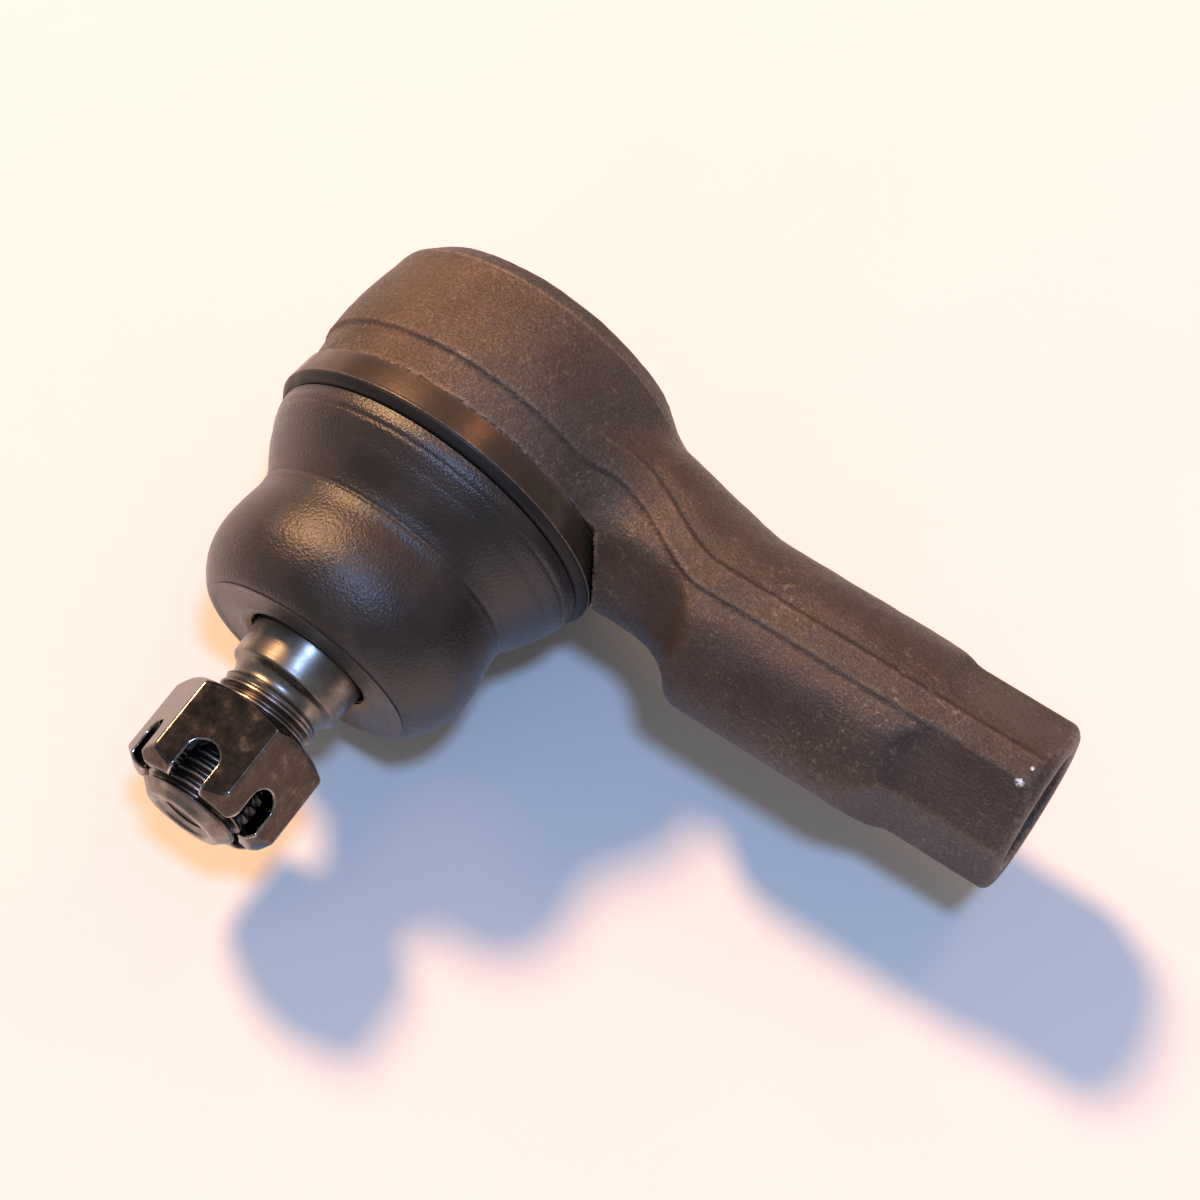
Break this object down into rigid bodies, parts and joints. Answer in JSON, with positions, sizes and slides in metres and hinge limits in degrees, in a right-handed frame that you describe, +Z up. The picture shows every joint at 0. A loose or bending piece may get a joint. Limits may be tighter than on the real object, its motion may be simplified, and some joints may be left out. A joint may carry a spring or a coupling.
{
  "type": "tie rod end",
  "caption": "Ball joint with a forged round housing on an internally threaded shank, a rubber dust boot, a tapered threaded stud and a castle nut.",
  "frame": {"origin": "centre of the end plug's outer face, on the ball stud's axis", "axes": "+X along the shank towards its threaded end, -Y along the ball stud towards its free end, +Z up with the part lying on its side"},
  "size_m": [0.0969, 0.0683, 0.043],
  "materials": {
    "forged_steel": "oiled phosphate on a rough forging",
    "stamped_steel": "stamped sheet, lightly oiled",
    "spring_steel": "dark hardened spring steel",
    "machined_steel": "turned and ground, oiled",
    "nut_steel": "black oxide with bright edges",
    "ring_steel": "satin black",
    "boot_rubber": "satin, finely grained",
    "seal_rubber": "smooth",
    "seat_plastic": "natural acetal"
  },
  "bodies": {
    "housing_body": {"housing": "forged_steel", "end_plug": "stamped_steel", "plug_seal_ring": "seal_rubber", "preload_spring": "spring_steel", "pressure_plate": "stamped_steel", "rear_ball_seat": "seat_plastic", "front_ball_seat": "seat_plastic", "boot_press_ring": "ring_steel"},
    "boot_body": {"dust_boot": "boot_rubber"},
    "lip_body": {"boot_lip_ring": "spring_steel"},
    "stud_body": {"ball_stud": "machined_steel"},
    "nut_body": {"castle_nut": "nut_steel"}
  },
  "joints": [
    {"name": "stud_swing", "type": "hinge", "parent": "housing_body", "child": "boot_body", "pos_m": [0, -0.013, 0], "axis": [0, 0, 1], "range_deg": [-18, 18], "deforming": ["dust_boot"]},
    {"name": "stud_tilt", "type": "hinge", "parent": "boot_body", "child": "lip_body", "pos_m": [0, -0.013, 0], "axis": [1, 0, 0], "range_deg": [-18, 18], "deforming": ["dust_boot"]},
    {"name": "stud_spin", "type": "hinge", "parent": "lip_body", "child": "stud_body", "pos_m": [0, -0.013, 0], "axis": [0, -1, 0], "continuous": true},
    {"name": "nut_turn", "type": "hinge", "parent": "stud_body", "child": "nut_body", "pos_m": [0, -0.0598, 0], "axis": [0, -1, 0], "continuous": true}
  ]
}
